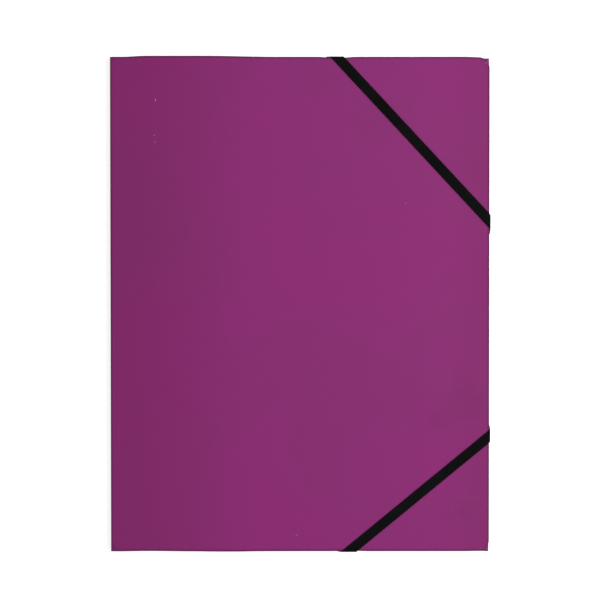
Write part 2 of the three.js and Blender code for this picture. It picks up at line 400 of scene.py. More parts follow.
class SharedEffects:
    """Node groups that more than one finish uses."""

    def __init__(self) -> None:
        """Builds each group once."""
        self.mottle = self.make_mottle()
        self.spot = self.make_spot()

    @staticmethod
    def make_mottle() -> bpy.types.NodeTree:
        """Two sizes of noise over each other, as an uneven surface has.

        Returns:
            A group that takes a place and two scales, and gives a broad and a fine grey field round 0.5.
        """
        sockets = {"Place": VECTOR, "Broad Scale": VALUE, "Fine Scale": VALUE}
        tree, given, out = new_group("mottle", sockets, {"Broad": VALUE, "Fine": VALUE})
        broad = tree.add("ShaderNodeTexNoise")
        fine = tree.add("ShaderNodeTexNoise")
        for node, scale, detail in ((broad, "Broad Scale", 2.0), (fine, "Fine Scale", 4.0)):
            tree.link(given.outputs["Place"], node.inputs["Vector"])
            tree.link(given.outputs[scale], node.inputs["Scale"])
            node.inputs["Detail"].default_value = detail
        tree.link(broad.outputs[0], out.inputs["Broad"])
        tree.link(fine.outputs[0], out.inputs["Fine"])
        return tree.tree

    @staticmethod
    def make_spot() -> bpy.types.NodeTree:
        """A soft-edged oval patch: 1 in its middle and 0 past its half widths along X, Y and Z.

        Returns:
            A group that takes a place, a centre and the half widths, and gives the oval's mask.
        """
        sockets = {"Place": VECTOR, "Centre": VECTOR, "Half Widths": VECTOR}
        tree, given, out = new_group("spot", sockets, {"Mask": VALUE})
        offset = tree.add("ShaderNodeVectorMath", operation="SUBTRACT")
        share = tree.add("ShaderNodeVectorMath", operation="DIVIDE")
        size = tree.add("ShaderNodeVectorMath", operation="LENGTH")
        tree.link(given.outputs["Place"], offset.inputs[0])
        tree.link(given.outputs["Centre"], offset.inputs[1])
        tree.link(offset.outputs[0], share.inputs[0])
        tree.link(given.outputs["Half Widths"], share.inputs[1])
        tree.link(share.outputs[0], size.inputs[0])
        tree.link(tree.between(size.outputs["Value"], 0.35, 1.0, 1.0, 0.0), out.inputs["Mask"])
        return tree.tree


@dataclass(frozen=True)
class Mark:
    """A spot on the cover, a scuff or painted light: its place along X and Y, its half widths, and how much paler
    (or darker) it is.
    """

    across: float
    up: float
    half_width: float
    half_height: float
    strength: float


@dataclass(frozen=True)
class PlasticSheet:
    """Purple polypropylene: through-coloured, satin, finely grained, with painted shade along its cut edges, beside
    the spine and toward the fore-edge.
    """

    colour: Colour = srgb(134, 37, 110)
    # painted shade: the darker colour mixed in beside the spine and toward the fore-edge
    painted_shade_colour: Colour = srgb(126, 33, 100)
    # painted shade along the cut edges and the spine fold; the random broad mottle also mixes toward this colour
    mottle_and_edge_shade_colour: Colour = srgb(76, 20, 64)
    # pale scuffs, and painted highlights and glints
    pale_mark_and_highlight_colour: Colour = srgb(196, 150, 186)
    # dark scuffs, and painted shadows and painted shade
    dark_mark_and_shade_colour: Colour = srgb(84, 24, 70)
    roughness: float = 0.40
    roughness_swing: float = 0.07
    specular: float = 0.20
    grain_height: float = 0.012 * MM
    ripple_height: float = 0.10 * MM
    # how far in the painted edge shade reaches and how strong it is at the edge
    edge_shade_width: float = 2.0 * MM
    edge_shade_share: float = 0.8
    # where the painted shade fades out from the spine, and where it comes back in toward the fore-edge
    spine_shade_start: float = -0.118
    spine_shade_end: float = -0.02
    fore_edge_shade_start: float = 0.088
    fore_edge_shade_end: float = 0.122
    marks_and_painted_light: tuple[Mark, ...] = (
        # painted glints, each with a painted shadow beside it, at two small nicks, and a pale smudge
        Mark(-0.0937, 0.1322, 0.00045, 0.0011, 0.75),
        Mark(-0.0944, 0.1322, 0.00040, 0.0013, -0.9),
        Mark(-0.0941, 0.1050, 0.00040, 0.0009, 0.5),
        Mark(-0.0946, 0.1050, 0.00035, 0.0010, -0.7),
        Mark(-0.0944, 0.1095, 0.0008, 0.0006, 0.25),
        # faint pale and dark marks
        Mark(-0.0919, -0.1560, 0.00030, 0.0026, -0.45),
        Mark(-0.0026, -0.1495, 0.0010, 0.0006, 0.25),
        Mark(0.0401, 0.1257, 0.0007, 0.0007, -0.55),
        Mark(0.0680, 0.0655, 0.0009, 0.0006, 0.2),
        # painted shade over the shallow humps near the fore-edge
        Mark(0.1060, -0.0640, 0.0190, 0.0150, -0.12),
        Mark(0.0900, -0.0760, 0.0120, 0.0070, -0.07),
        Mark(0.1090, -0.1330, 0.0130, 0.0080, -0.10),
        # painted highlights at the fore-edge corners
        Mark(0.1165, -0.1583, 0.0005, 0.0005, 0.4),
        Mark(0.1190, -0.1581, 0.0009, 0.0005, 0.4),
        Mark(0.1200, 0.1561, 0.0006, 0.0009, 0.3),
    )

    def dress(self, effects: SharedEffects) -> Material:
        """Builds the material.

        Args:
            effects: The shared node groups.

        Returns:
            The finished material.
        """
        material = bpy.data.materials.new("purple_polypropylene")
        material.use_nodes = True
        tree = NodeTree(material.node_tree)
        place = tree.object_place()
        mottle = tree.group(effects.mottle, Place=place, Broad_Scale=9.0, Fine_Scale=620.0)
        broad, fine = mottle.outputs["Broad"], mottle.outputs["Fine"]

        axes = tree.add("ShaderNodeSeparateXYZ")
        tree.link(place, axes.inputs[0])
        # painted shade: the colour darkens toward the spine and, less, toward the fore-edge
        spine_shade_fade = tree.between(axes.outputs["X"], self.spine_shade_start, self.spine_shade_end, 0.0, 1.0)
        fore_edge_shade_fade = tree.between(axes.outputs["X"], self.fore_edge_shade_start, self.fore_edge_shade_end, 1.0, 0.45)
        colour = tree.mix(tree.math("MULTIPLY", spine_shade_fade, fore_edge_shade_fade), self.painted_shade_colour, self.colour)
        shade = tree.between(broad, 0.3, 0.7, 0.0, 0.12)
        colour = tree.mix(shade, colour, self.mottle_and_edge_shade_colour)
        # marks: scuffs, painted glints and shadows at nicks, painted shade over humps and painted corner highlights
        for mark in self.marks_and_painted_light:
            tone = self.pale_mark_and_highlight_colour if mark.strength > 0.0 else self.dark_mark_and_shade_colour
            spot = tree.group(effects.spot, Place=place, Centre=(mark.across, mark.up, COVER_LEVEL),
                              Half_Widths=(mark.half_width, mark.half_height, MARK_DEPTH))
            share = tree.math("MULTIPLY", spot.outputs["Mask"], abs(mark.strength))
            colour = tree.mix(share, colour, tone)
        # painted shade along the cut edges and beside the spine fold, by each point's distance from them
        edge = tree.add("ShaderNodeAttribute", attribute_name="edge_distance")
        near = tree.between(edge.outputs["Fac"], 0.0, self.edge_shade_width, self.edge_shade_share, 0.0)
        colour = tree.mix(near, colour, self.mottle_and_edge_shade_colour)

        least, most = self.roughness - self.roughness_swing, self.roughness + self.roughness_swing
        swing = tree.between(broad, 0.3, 0.7, least, most)
        height = tree.math("MULTIPLY", fine, self.grain_height)
        ripple = tree.noise(place, 26.0, 1.0, 0.4)
        height = tree.math("ADD", height, tree.math("MULTIPLY", ripple, self.ripple_height))
        bump = tree.add("ShaderNodeBump")
        bump.inputs["Distance"].default_value = 1.0
        bump.inputs["Strength"].default_value = 1.0
        tree.link(height, bump.inputs["Height"])

        shader = tree.add("ShaderNodeBsdfPrincipled")
        tree.link(colour, shader.inputs["Base Color"])
        tree.link(swing, shader.inputs["Roughness"])
        tree.link(bump.outputs[0], shader.inputs["Normal"])
        shader.inputs["Specular IOR Level"].default_value = self.specular
        output = tree.add("ShaderNodeOutputMaterial")
        tree.link(shader.outputs[0], output.inputs["Surface"])
        return material


@dataclass(frozen=True)
class WovenElastic:
    """Black woven elastic: dull, with cross picks over its lengthwise ribs."""

    colour: Colour = srgb(6, 5, 6)
    worn_colour: Colour = srgb(21, 19, 20)
    roughness: float = 0.85
    pick_pitch: float = 0.62 * MM
    pick_height: float = 0.05 * MM
    fuzz_height: float = 0.02 * MM

    def dress(self, effects: SharedEffects) -> Material:
        """Builds the material, whose picks follow the band's own length and width.

        Args:
            effects: The shared node groups.

        Returns:
            The finished material.
        """
        material = bpy.data.materials.new("black_elastic")
        material.use_nodes = True
        tree = NodeTree(material.node_tree)
        along = tree.add("ShaderNodeAttribute", attribute_name="band_length").outputs["Fac"]
        ribs = tree.add("ShaderNodeAttribute", attribute_name="rib_turn").outputs["Fac"]
        turn = tree.math("MULTIPLY", along, 2.0 * math.pi / self.pick_pitch)
        picks = tree.math("SINE", tree.math("ADD", turn, ribs))
        place = tree.object_place()
        mottle = tree.group(effects.mottle, Place=place, Broad_Scale=60.0, Fine_Scale=3200.0)

        crest = tree.between(picks, -0.2, 1.0, 0.0, 0.55)
        worn = tree.math("MULTIPLY", crest, tree.between(mottle.outputs["Fine"], 0.3, 0.75, 0.15, 1.0))
        colour = tree.mix(worn, self.colour, self.worn_colour)
        height = tree.math("MULTIPLY", picks, self.pick_height)
        height = tree.math("ADD", height, tree.math("MULTIPLY", mottle.outputs["Fine"], self.fuzz_height))
        bump = tree.add("ShaderNodeBump")
        bump.inputs["Distance"].default_value = 1.0
        bump.inputs["Strength"].default_value = 1.0
        tree.link(height, bump.inputs["Height"])

        shader = tree.add("ShaderNodeBsdfPrincipled")
        tree.link(colour, shader.inputs["Base Color"])
        rough = tree.between(mottle.outputs["Broad"], 0.3, 0.7, self.roughness - 0.06, self.roughness + 0.08)
        tree.link(rough, shader.inputs["Roughness"])
        tree.link(bump.outputs[0], shader.inputs["Normal"])
        shader.inputs["Specular IOR Level"].default_value = 0.10
        output = tree.add("ShaderNodeOutputMaterial")
        tree.link(shader.outputs[0], output.inputs["Surface"])
        return material


@dataclass(frozen=True)
class NickelPlate:
    """Nickel plating on a pressed rivet, with faint rubbing."""

    colour: Colour = srgb(205, 203, 198)
    dull_colour: Colour = srgb(168, 165, 160)
    roughness: float = 0.22
    scratch_height: float = 0.002 * MM

    def dress(self, effects: SharedEffects) -> Material:
        """Builds the material.

        Args:
            effects: The shared node groups.

        Returns:
            The finished material.
        """
        material = bpy.data.materials.new("nickel_plate")
        material.use_nodes = True
        tree = NodeTree(material.node_tree)
        mottle = tree.group(effects.mottle, Place=tree.object_place(), Broad_Scale=700.0, Fine_Scale=5200.0)
        colour = tree.mix(tree.between(mottle.outputs["Broad"], 0.35, 0.7, 0.0, 0.35), self.colour, self.dull_colour)
        rough = tree.between(mottle.outputs["Broad"], 0.3, 0.7, self.roughness - 0.05, self.roughness + 0.08)
        height = tree.math("MULTIPLY", mottle.outputs["Fine"], self.scratch_height)
        bump = tree.add("ShaderNodeBump")
        bump.inputs["Distance"].default_value = 1.0
        tree.link(height, bump.inputs["Height"])
        shader = tree.add("ShaderNodeBsdfPrincipled")
        tree.link(colour, shader.inputs["Base Color"])
        tree.link(rough, shader.inputs["Roughness"])
        tree.link(bump.outputs[0], shader.inputs["Normal"])
        shader.inputs["Metallic"].default_value = 1.0
        output = tree.add("ShaderNodeOutputMaterial")
        tree.link(shader.outputs[0], output.inputs["Surface"])
        return material


@dataclass
class FoldedSheet:
    """The one sheet of the folder: cover, spine, back, side flap, head flap and foot flap.

    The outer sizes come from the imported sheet's box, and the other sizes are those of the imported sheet.
    """

    low: Vector
    high: Vector
    thickness: float = 0.5 * MM
    lift: float = 1.7 * MM
    cover_top: float = 5.3 * MM
    end_flap_level: float = 1.5 * MM
    side_flap_level: float = 2.3 * MM
    spine_crease: float = 1.0 * MM
    corner_radius: float = 7.0 * MM
    end_flap_depth: float = 92.0 * MM
    end_flap_inset: float = 0.6 * MM
    end_flap_margin: float = 10.0 * MM
    end_flap_taper: float = 14.0 * MM
    side_flap_depth: float = 118.0 * MM
    side_flap_inset: float = 0.2 * MM
    side_flap_taper: float = 16.0 * MM
    flap_corner: float = 12.0 * MM
    lift_start: float = 32.0 * MM
    lift_length: float = 55.0 * MM
    swell_height: float = 0.8 * MM
    swell_from_spine: float = 30.0 * MM
    swell_reach: float = 105.0 * MM
    head_corner_inset: float = 1.0 * MM
    foot_corner_inset: float = -0.2 * MM
    pull_reach: float = 9.0 * MM
    rows: int = 96
    spine_x: float = field(init=False)
    fore_edge_x: float = field(init=False)
    head_y: float = field(init=False)

    def __post_init__(self) -> None:
        """Works out the sheet's sides from its box."""
        self.spine_x = self.low.x
        self.fore_edge_x = self.high.x
        self.head_y = self.high.y
        self.half = self.thickness / 2.0
        self.side_fold = (self.side_flap_level + self.thickness) / 2.0
        self.end_fold = (self.end_flap_level + self.thickness) / 2.0
        self.back_end_x = self.fore_edge_x - self.side_flap_inset - self.side_fold
        self.back_end_y = self.head_y - self.end_flap_inset - self.end_fold

    def lift_at(self, x: Array) -> Array:
        """Height of the back's underside: flat by the spine, then a smooth rise over the rivets and bands."""
        start = self.spine_x + self.lift_start
        return self.lift * ease(x, start, start + self.lift_length)

    def cover_height(self, x: Array) -> Array:
        """Height of the cover's upper face: level, with a low swell beside the spine."""
        middle = self.spine_x + self.swell_from_spine
        return self.cover_top + self.swell_height * swell(x, middle, self.swell_reach)

    def ripples(self, x: Array, y: Array) -> Array:
        """How far the cover rises from its plain form, in a few shallow humps.

        Each is a bell, the exponential of minus the squared distance from its middle over its reach.
        """
        humps = (
            (0.092, -0.066, 0.013, 0.011, 0.42 * MM),
            (0.112, -0.050, 0.010, 0.012, 0.30 * MM),
            (0.074, -0.052, 0.016, 0.010, 0.22 * MM),
            (0.103, -0.134, 0.012, 0.008, 0.34 * MM),
            (-0.035, 0.128, 0.050, 0.026, 0.22 * MM),
            (0.030, -0.020, 0.060, 0.080, 0.12 * MM),
        )
        total = np.zeros(np.broadcast(x, y).shape)
        for middle_x, middle_y, reach_x, reach_y, height in humps:
            total += height * np.exp(-(((x - middle_x) / reach_x) ** 2) - ((y - middle_y) / reach_y) ** 2)
        return total

    def section(self) -> tuple[Line, dict[str, slice]]:
        """The sheet's middle line from the cover's fore-edge over the spine and the back to the side flap.

        Returns:
            The line in X and Z, and the stretch of its points that each panel takes.
        """
        crease_x = self.spine_x + self.spine_crease
        bend = self.spine_crease - self.half
        reach = self.fore_edge_x - self.corner_radius
        corner = self.fore_edge_x - self.corner_radius * (1.0 - np.sin(np.linspace(math.pi / 2.0, 0.0, 14)))
        cover_x = np.r_[corner, np.linspace(reach, crease_x, 118)[1:]]
        cover = Line.over(cover_x, self.cover_height(cover_x) - self.half, -1.0)
        top_z = float(self.cover_height(np.array([crease_x]))[0])
        spine = Line.joined(
            Line.arc((crease_x, top_z - self.spine_crease), bend, math.pi / 2, math.pi, 7),
            Line.arc((crease_x, self.spine_crease), bend, math.pi, 1.5 * math.pi, 7),
        )
        back_x = np.linspace(crease_x, self.back_end_x, 90)
        back = Line.over(back_x, self.lift_at(back_x) + self.half, 1.0)
        fold_centre = (self.back_end_x, self.lift + self.side_fold)
        fold = Line.arc(fold_centre, self.side_fold - self.half, -math.pi / 2, math.pi / 2, 13)
        free_x = self.fore_edge_x - self.side_flap_inset - self.side_flap_depth
        curve = free_x + self.flap_corner * (1.0 - np.sin(np.linspace(0.0, math.pi / 2.0, 10)))
        flap_x = np.r_[np.linspace(self.back_end_x, free_x + self.flap_corner, 30), curve[1:]]
        level = self.lift + self.side_flap_level + self.half
        flap = Line.over(flap_x, np.full(len(flap_x), level), -1.0)
        line = Line.joined(cover, spine, back, fold, flap)
        # each line but the first starts on the last point of the one before
        ends = np.cumsum([len(part.at) - 1 for part in (cover, spine, back, fold, flap)]) + 1
        names = ("cover", "spine", "back", "fold", "flap")
        starts = np.r_[0, ends[:-1]]
        return line, {name: slice(int(a), int(b)) for name, a, b in zip(names, starts, ends)}

    def half_heights(self, line: Line, panels: dict[str, slice], end: End) -> Array:
        """The sheet's reach along Y from its middle at each point of its section, which is its cut outline.

        Outside the end flap's fold the back's corner and the side fold reach further than the back beside the fold.

        Args:
            line: The section's middle line.
            panels: The points of each panel.
            end: To which end the reach is measured.

        Returns:
            One reach a point.
        """
        corner_inset = self.head_corner_inset if end is End.HEAD else self.foot_corner_inset
        corner_y = self.head_y - corner_inset
        x = line.at[:, 0]
        half = np.full(len(x), self.head_y)
        drop = round_off(x - (self.fore_edge_x - self.corner_radius), self.corner_radius)
        half[panels["cover"]] -= drop[panels["cover"]]
        notch = ease(x, self.spine_x + 4.6 * MM, self.spine_x + 5.4 * MM)
        flap_end = self.fore_edge_x - self.end_flap_margin
        ear = ease(x, flap_end + 0.3 * MM, flap_end + 0.8 * MM)
        back = self.head_y - (self.head_y - self.back_end_y) * notch + (corner_y - self.back_end_y) * ear
        half[panels["back"]] = back[panels["back"]]
        half[panels["fold"]] = corner_y
        free_x = self.fore_edge_x - self.side_flap_inset - self.side_flap_depth
        share = (self.back_end_x - x) / (self.back_end_x - free_x)
        fall = round_off(free_x + self.flap_corner - x, self.flap_corner)
        flap = corner_y - (self.side_flap_taper - (self.back_end_y - corner_y)) * share - fall
        half[panels["flap"]] = flap[panels["flap"]]
        return half

    def outline_wave(self, x: Array, end: End) -> Array:
        """How far the cover's cut edge wanders outwards from a straight line, by its place along X.

        The head bows out beside the spine, the foot runs in and out by less, and each edge gives way to its band.
        """
        from_spine = x - self.spine_x
        near_corner = ease(x, self.fore_edge_x - 17.0 * MM, self.fore_edge_x - 5.0 * MM)
        if end is End.HEAD:
            rise = ease(from_spine, 7.0 * MM, 24.0 * MM) * (1.0 - ease(from_spine, 60.0 * MM, 108.0 * MM))
            wave = 0.68 * MM * rise - 0.32 * MM * near_corner
        else:
            wave = 0.24 * MM * swell(from_spine, 76.0 * MM, 28.0 * MM) - 0.12 * MM * near_corner
            wave -= 0.25 * MM * swell(from_spine, 26.0 * MM, 24.0 * MM)
        crossing = CROSSINGS[end]
        band_x = self.fore_edge_x - crossing.end_leg
        return wave - crossing.pull * np.exp(-(((x - band_x) / self.pull_reach) ** 4))

    def build_wrap(self, material: Material) -> Piece:
        """Builds cover, spine, back and side flap as one closed sheet.

        The grid runs along the section one way and from foot to head the other, where a row is the half height times
        a number from -1 to 1. Each face lies half the thickness from the middle, along the section's normal.

        Args:
            material: The sheet's finish.

        Returns:
            The piece.
        """
        line, panels = self.section()
        to_head = self.half_heights(line, panels, End.HEAD)[:, None]
        to_foot = self.half_heights(line, panels, End.FOOT)[:, None]
        even = np.linspace(-1.0, 1.0, self.rows)
        near = 1.0 - np.array([0.0, 0.0012, 0.0026, 0.0045, 0.008])
        share = np.unique(np.r_[-near, even[2:-2], near])
        x = np.broadcast_to(line.at[:, :1], (len(line.at), len(share)))
        reach = np.where(share > 0.0, to_head, to_foot)
        y = reach * share[None, :]
        on_cover = np.zeros(len(line.at))
        on_cover[panels["cover"]] = 1.0
        on_cover *= ease(line.at[:, 0], self.spine_x + 2.0 * MM, self.spine_x + 14.0 * MM)
        lifted = on_cover[:, None] * self.ripples(x, y)
        wave = np.where(share > 0.0, self.outline_wave(x, End.HEAD), -self.outline_wave(x, End.FOOT))
        y = y + on_cover[:, None] * wave * np.abs(share)[None, :] ** 3
        faces_at = []
        for side in (0.5, -0.5):
            at = line.offset(side * self.thickness)
            across = np.broadcast_to(at[:, :1], x.shape)
            height = at[:, 1:] + lifted
            faces_at.append(np.stack([across, y, height], axis=-1))
        points, quads = slab(*faces_at)
        piece = make_piece("wrapped_sheet", points, [turned_out(points, quads)], material)
        # distance from the cut ends, the sides and the spine fold, for the painted edge shade
        along = line.lengths()
        rim = np.minimum(along, along[-1] - along)[:, None]
        side_rim = reach * (1.0 - np.abs(share))[None, :]
        spine_rim = x - self.spine_x
        distance = np.minimum(np.minimum(rim, side_rim), spine_rim).reshape(-1)
        self.finish(piece, np.r_[distance, distance])
        return piece

    def build_end_flap(self, end: End, material: Material) -> Piece:
        """Builds the head or the foot flap as one closed strip that starts at the back's end.

        The grid runs along the flap's own section one way and across the folder the other. The flap narrows at an
        even rate to its free edge, where its corners are round, and it follows the rise of the back.

        Args:
            end: Which end of the folder.
            material: The sheet's finish.

        Returns:
            The piece.
        """
        free_y = self.head_y - self.end_flap_inset - self.end_flap_depth
        fold = Line.arc((self.back_end_y, self.end_fold), self.end_fold - self.half, -math.pi / 2, math.pi / 2, 13)
        curve = free_y + self.flap_corner * (1.0 - np.sin(np.linspace(0.0, math.pi / 2.0, 10)))
        flap_y = np.r_[np.linspace(self.back_end_y, free_y + self.flap_corner, 26), curve[1:]]
        level = self.end_flap_level + self.half
        line = Line.joined(fold, Line.over(flap_y, np.full(len(flap_y), level), -1.0))
        y = line.at[:, 0]
        share = np.clip((self.back_end_y - y) / (self.back_end_y - free_y), 0.0, 1.0)
        fall = round_off(free_y + self.flap_corner - y, self.flap_corner)
        inset = self.end_flap_margin + self.end_flap_taper * share + fall
        across = np.linspace(0.0, 1.0, 70)
        width = self.fore_edge_x - self.spine_x - 2.0 * inset
        x = (self.spine_x + inset)[:, None] + width[:, None] * across[None, :]
        faces_at = []
        for side in (0.5, -0.5):
            at = line.offset(side * self.thickness)
            deep = np.broadcast_to(end.value * at[:, :1], x.shape)
            faces_at.append(np.stack([x, deep, at[:, 1:] + self.lift_at(x)], axis=-1))
        points, quads = slab(*faces_at)
        name = f"{end.word}_flap"
        piece = make_piece(name, points, [turned_out(points, quads)], material)
        along = line.lengths()
        rim = (along[-1] - along)[:, None]
        distance = np.minimum(rim, width[:, None] * np.minimum(across, 1.0 - across)[None, :]).reshape(-1)
        self.finish(piece, np.r_[distance, distance])
        return piece

    def finish(self, piece: Piece, edge_distance: Array) -> None:
        """Breaks the sharp cut edges of a panel and tells its material how far each point is from them, for the
        painted edge shade.
        """
        point_values(piece, "edge_distance", edge_distance)
        bevel = piece.modifiers.new("cut_edge", "BEVEL")
        bevel.width = 0.10 * MM
        bevel.segments = 2
        bevel.limit_method = "ANGLE"
        bevel.angle_limit = math.radians(50.0)
        bevel.harden_normals = True
        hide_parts("folder_sheet")


@dataclass
class ElasticBand:
    """A flat elastic band across one fore-edge corner, bent round two edges and riveted to the back.

    The band is a straight ribbon: unrolled, its place is its length along one direction and its width across it, and
    past an edge of the folder that flat place is carried round the edge.
    """

    end: End
    sheet: FoldedSheet
    width: float = 6.5 * MM
    thickness: float = 0.78 * MM
    seat: float = 0.04 * MM
    tail: float = 6.0 * MM
    rivet_inset: float = 41.0 * MM
    ribs: int = 9
    rib_height: float = 0.07 * MM
    step: float = 0.7 * MM

    @property
    def node(self) -> str:
        """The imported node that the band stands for."""
        return f"elastic_band_{self.end.word}"

    def route(self, fore_edge: bool) -> tuple[Array, Line]:
        """The band's way round one edge, seen along that edge.

        It is level over the cover, turns down close round the cover's cut edge, runs straight to the fold
        below, turns round that and is level again under the back.

        Args:
            fore_edge: Whether the edge is the fore-edge or the one at the band's end of the folder.

        Returns:
            The flat place of each point along the way, and the way.
        """
        if fore_edge:
            edge, fold = self.sheet.fore_edge_x, self.sheet.side_fold
            inset = self.sheet.side_flap_inset
        else:
            edge, fold = self.sheet.head_y - CROSSINGS[self.end].pull, self.sheet.end_fold
            inset = self.sheet.end_flap_inset - CROSSINGS[self.end].pull
        off = self.seat + self.thickness / 2.0
        top = self.sheet.cover_top
        upper = (edge, top)
        lower = (edge - inset - fold, self.sheet.lift + fold)
        gap = np.array(lower) - np.array(upper)
        lean = math.atan2(gap[1], gap[0]) + math.asin(fold / float(np.linalg.norm(gap)))
        turn = lean + math.pi / 2.0
        line = Line.joined(
            Line.straight((edge - 60.0 * MM, top + off), (edge, top + off), 3),
            Line.arc(upper, off, math.pi / 2.0, turn, 14),
            Line.arc(lower, fold + off, turn, -math.pi / 2.0, 20),
            Line.straight((lower[0], self.sheet.lift - off), (edge - 70.0 * MM, self.sheet.lift - off), 3),
        )
        return line.lengths() + line.at[0, 0], line

    def direction(self) -> tuple[Array, Array, float]:
        """The middle of the band's run over the cover, its unit direction to the fore-edge, and half that run."""
        sign = self.end.value
        legs = CROSSINGS[self.end]
        on_end = np.array([self.sheet.fore_edge_x - legs.end_leg, sign * self.sheet.head_y])
        on_fore_edge = np.array([self.sheet.fore_edge_x, sign * (self.sheet.head_y - legs.fore_edge_leg)])
        run = on_fore_edge - on_end
        length = float(np.linalg.norm(run))
        return (on_end + on_fore_edge) / 2.0, run / length, length / 2.0

    def carried(self, length: Array, across: Array, height: Array) -> Array:
        """Carries flat places of the ribbon on to the folder.

        Args:
            length: Length from the middle of the band, to the fore-edge.
            across: Place across the band, to the folder's corner.
            height: Height over the band's middle surface.

        Returns:
            The points, one row each.
        """
        middle, along, _ = self.direction()
        to_corner = np.array([-along[1], along[0]])
        to_corner *= math.copysign(1.0, float(to_corner[0]))
        flat = middle + length[:, None] * along + across[:, None] * to_corner
        sign = self.end.value
        points = np.empty((len(length), 3))
        for fore_edge in (True, False):
            rows = (length >= 0.0) == fore_edge
            outward = flat[rows, 0] if fore_edge else sign * flat[rows, 1]
            beside = flat[rows, 1 if fore_edge else 0]
            place, way = self.route(fore_edge)
            out, up = (
                np.interp(outward, place, way.at[:, i])
                + height[rows] * np.interp(outward, place, way.left[:, i])
                for i in (0, 1)
            )
            points[rows] = np.column_stack([out, beside, up] if fore_edge else [beside, sign * out, up])
        return points

    def tail_length(self, fore_edge: bool) -> float:
        """Length from the middle of the band to the middle of the rivet at one of its ends."""
        _, along, half_run = self.direction()
        place, way = self.route(fore_edge)
        side = self.sheet.fore_edge_x if fore_edge else self.sheet.head_y
        rate = abs(float(along[0 if fore_edge else 1]))
        unrolled = place[-1] - ((side - self.rivet_inset) - way.at[-1, 0]) - side
        return half_run + unrolled / rate

    def rivet_places(self) -> list[Array]:
        """Where the band's two rivets stand, seen from above."""
        lengths = np.array([-self.tail_length(False), self.tail_length(True)])
        return list(self.carried(lengths, np.zeros(2), np.zeros(2))[:, :2])

    def profile(self) -> tuple[Array, Array]:
        """The band's cross-section: ribs on both faces and round sides.

        Across the band a face stands half the thickness up, less the rib height times the squared cosine of
        its place, which has one crest for each rib. At the sides the section closes in a half oval.

        Returns:
            Places across and heights, once round the section.
        """
        half = self.width / 2.0
        side = self.thickness * 0.32
        across = np.linspace(-half + side, half - side, self.ribs * 6 + 1)
        turn = (across + half - side) / (2.0 * (half - side)) * self.ribs * math.pi
        face = self.thickness / 2.0 - self.rib_height * np.cos(turn) ** 2
        angle = np.linspace(math.pi / 2.0, -math.pi / 2.0, 9)[1:-1]
        edge_face = face[0]
        round_x = side * np.cos(angle)
        round_z = edge_face * np.sin(angle)
        places = np.r_[across, half - side + round_x, across[::-1], -(half - side) - round_x]
        heights = np.r_[face, round_z, -face[::-1], -round_z]
        return places, heights

    def build(self, material: Material) -> Piece:
        """Builds the band as its section carried along its length, with a flat cut at each end.

        Args:
            material: The band's finish.

        Returns:
            The piece.
        """
        start = -self.tail_length(False) - self.tail
        stop = self.tail_length(True) + self.tail
        count = int((stop - start) / self.step)
        lengths = np.linspace(start, stop, count)
        places, heights = self.profile()
        size = len(places)
        length = np.repeat(lengths, size)
        across = np.tile(places, count)
        points = self.carried(length, across, np.tile(heights, count))
        sides = turned_out(points, grid_faces(count, size, close_columns=True))
        first = np.arange(size)[None, :]
        last = first + (count - 1) * size
        # the first face starts at vertex 0 unless the faces were reversed, and the cuts turn with them
        kept = sides[0, 0] == 0
        cuts = [first[:, ::-1], last] if kept else [first, last[:, ::-1]]
        name =f"{self.end.word}_band"
        piece = make_piece(name, points, [sides, *cuts], material)
        point_values(piece, "band_length", length)
        rib = np.clip(np.floor((across / self.width + 0.5) * self.ribs), 0, self.ribs - 1)
        point_values(piece, "rib_turn", rib * math.pi)
        piece.data.set_sharp_from_angle(angle=math.radians(60.0))
        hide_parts(self.node)
        return piece


